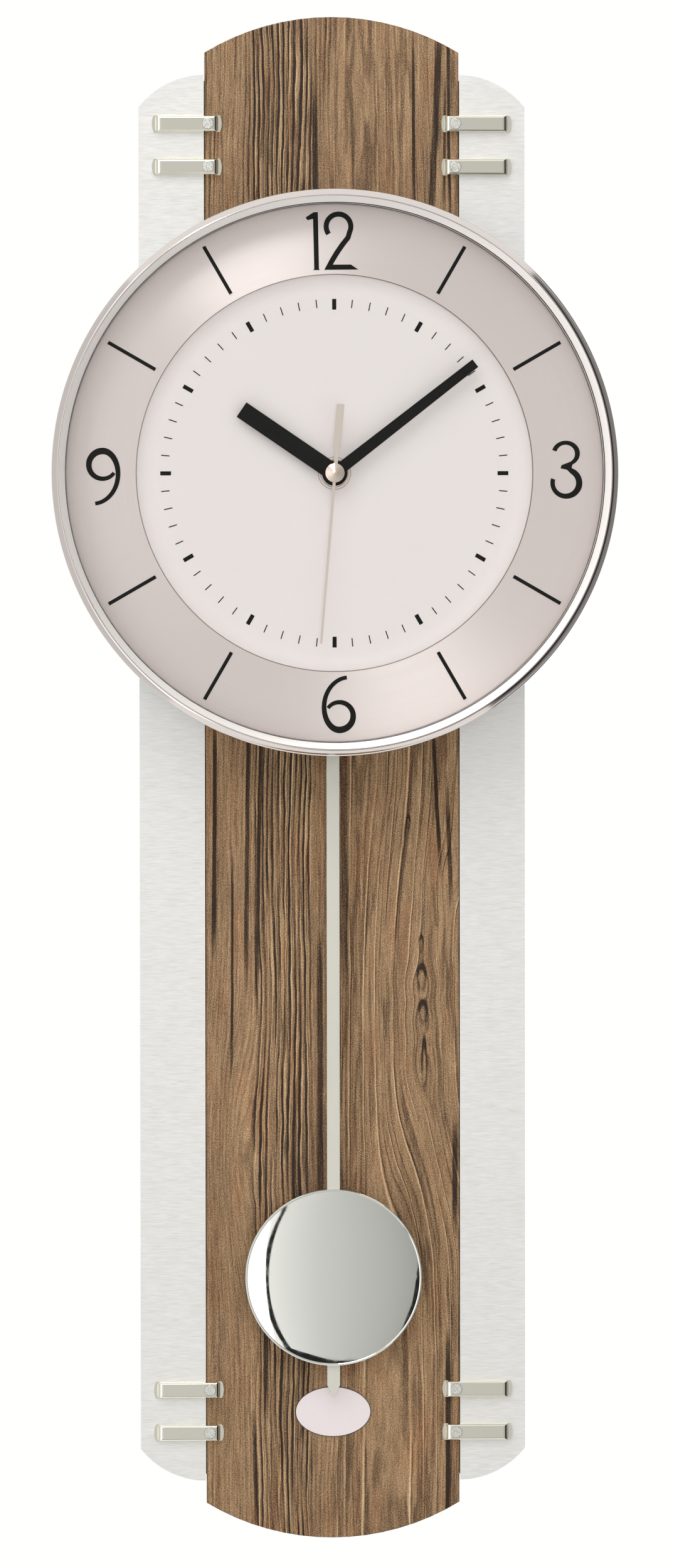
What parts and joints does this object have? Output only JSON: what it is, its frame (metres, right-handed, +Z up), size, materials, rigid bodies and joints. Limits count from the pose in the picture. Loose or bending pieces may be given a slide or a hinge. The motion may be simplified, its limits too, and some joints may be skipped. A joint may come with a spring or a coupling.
{
  "type": "radio-controlled pendulum wall clock",
  "caption": "Wall clock: round silver dial on a wood panel with brushed side plates and chrome bars, keyhole hanger, geared battery movement and a free-swinging pendulum.",
  "frame": {"origin": "centre of the keyhole's round entry, in the plane of the wall", "axes": "+Z up, +Y into the wall, +X to the right as seen from the front"},
  "size_m": [0.22, 0.0666, 0.6],
  "materials": {
    "carrier": "black stained fibreboard, matt",
    "wood": "brown, embossed vertical grain, satin",
    "side_plates": "fine horizontal brushing",
    "bars": "polished",
    "fasteners": "zinc plated",
    "hanger": "zinc plated sheet",
    "hanger_screws": "yellow passivated",
    "pads": "soft, matt",
    "case": "silver paint over a moulding",
    "dial": "white matt lacquer",
    "chapter_ring": "satin, turned",
    "markers": "gloss black",
    "spacer": "black",
    "glass": "flat mineral glass",
    "bezel": "satin slope, polished outer band",
    "hands": "black lacquer",
    "second_hand": "light grey lacquer",
    "hub_cap": "polished",
    "brass_fittings": "nickel over brass, worn warm",
    "gasket": "black",
    "movement": "black moulding, fine spark texture",
    "gear_plate": "natural acetal",
    "wheels": "natural acetal",
    "rotors": "sintered magnet on a moulded pinion",
    "stators": "punched sheet",
    "copper": "enamelled copper winding",
    "circuit_board": "solder mask",
    "ferrite": "sintered, matt",
    "battery": "bare sleeve",
    "contacts": "nickel plated spring strip",
    "set_key": "light grey",
    "receive_key": "red",
    "pivot_pin": "polished",
    "pendulum_arm": "white moulding",
    "pendulum_rod": "pale satin",
    "bob": "polished",
    "bob_back": "silver paint over a moulding"
  },
  "bodies": {
    "body": {"carrier_board": "carrier", "wood_panel": "wood", "side_plate_left": "side_plates", "side_plate_right": "side_plates", "bar_top_left_upper": "bars", "bar_top_left_lower": "bars", "bar_top_right_upper": "bars", "bar_top_right_lower": "bars", "bar_bottom_left_upper": "bars", "bar_bottom_left_lower": "bars", "bar_bottom_right_upper": "bars", "bar_bottom_right_lower": "bars", "bar_screws": "fasteners", "panel_screws": "fasteners", "case_screws": "fasteners", "cover_screws": "fasteners", "hanger_plate": "hanger", "hanger_screws": "hanger_screws", "wall_pads": "pads", "case_drum": "case", "dial_plate": "dial", "chapter_ring": "chapter_ring", "hour_markers": "markers", "spacer_ring": "spacer", "glass": "glass", "bezel": "bezel", "fixing_nut": "brass_fittings", "fixing_washer": "brass_fittings", "rubber_gasket": "gasket", "movement_housing": "movement", "movement_cover": "movement", "gear_plate": "gear_plate", "motor_stators": "stators", "motor_coils": "copper", "drive_coil": "copper", "antenna_coil": "copper", "circuit_board": "circuit_board", "ferrite_rod": "ferrite", "battery": "battery", "battery_contacts": "contacts", "pendulum_pin": "pivot_pin"},
    "hour": {"hour_wheel": "wheels", "hour_hand": "hands"},
    "minute": {"minute_wheel": "wheels", "minute_hand": "hands"},
    "second": {"second_wheel": "wheels", "second_hand": "second_hand", "hub_cap": "hub_cap"},
    "motion": {"motion_wheel": "wheels"},
    "third": {"third_wheel": "wheels"},
    "minute_rotor": {"minute_rotor": "rotors"},
    "intermediate": {"intermediate_wheel": "wheels"},
    "second_rotor": {"second_rotor": "rotors"},
    "pendulum": {"pendulum_hanger": "pendulum_arm", "pendulum_magnet": "ferrite", "pendulum_rod": "pendulum_rod", "bob_shell": "bob", "bob_back": "bob_back"},
    "set_key": {"set_button": "set_key"},
    "receive_key": {"receive_button": "receive_key"}
  },
  "joints": [
    {"name": "minute_turn", "type": "hinge", "parent": "body", "child": "minute", "pos_m": [0, -0.045, -0.135], "axis": [0, 1, 0], "continuous": true},
    {"name": "hour_turn", "type": "hinge", "parent": "body", "child": "hour", "pos_m": [0, -0.045, -0.135], "axis": [0, 1, 0], "continuous": true},
    {"name": "motion_turn", "type": "hinge", "parent": "body", "child": "motion", "pos_m": [-0.00625, -0.045, -0.12417], "axis": [0, 1, 0], "continuous": true},
    {"name": "third_turn", "type": "hinge", "parent": "body", "child": "third", "pos_m": [0.01212, -0.042, -0.128], "axis": [0, 1, 0], "continuous": true},
    {"name": "minute_rotor_turn", "type": "hinge", "parent": "body", "child": "minute_rotor", "pos_m": [0.02528, -0.042, -0.13279], "axis": [0, 1, 0], "continuous": true},
    {"name": "second_turn", "type": "hinge", "parent": "body", "child": "second", "pos_m": [0, -0.045, -0.135], "axis": [0, 1, 0], "continuous": true},
    {"name": "intermediate_turn", "type": "hinge", "parent": "body", "child": "intermediate", "pos_m": [0.01212, -0.038, -0.142], "axis": [0, 1, 0], "continuous": true},
    {"name": "second_rotor_turn", "type": "hinge", "parent": "body", "child": "second_rotor", "pos_m": [0.02528, -0.036, -0.13721], "axis": [0, 1, 0], "continuous": true},
    {"name": "pendulum_swing", "type": "hinge", "parent": "body", "child": "pendulum", "pos_m": [0, -0.027, -0.097], "axis": [0, 1, 0], "range_deg": [-4, 4]},
    {"name": "set_press", "type": "slide", "parent": "body", "child": "set_key", "axis": [0, -1, 0], "range_m": [0, 0.0008], "stiffness_N_per_m": 200},
    {"name": "receive_press", "type": "slide", "parent": "body", "child": "receive_key", "axis": [0, -1, 0], "range_m": [0, 0.0008], "stiffness_N_per_m": 200}
  ],
  "couplings": [
    {"joint": "hour_turn", "follows": "minute_turn", "ratio": 0.083333},
    {"joint": "motion_turn", "follows": "minute_turn", "ratio": -0.33333},
    {"joint": "third_turn", "follows": "minute_turn", "ratio": -6},
    {"joint": "minute_rotor_turn", "follows": "minute_turn", "ratio": 36},
    {"joint": "intermediate_turn", "follows": "second_turn", "ratio": -6},
    {"joint": "second_rotor_turn", "follows": "second_turn", "ratio": 36}
  ]
}
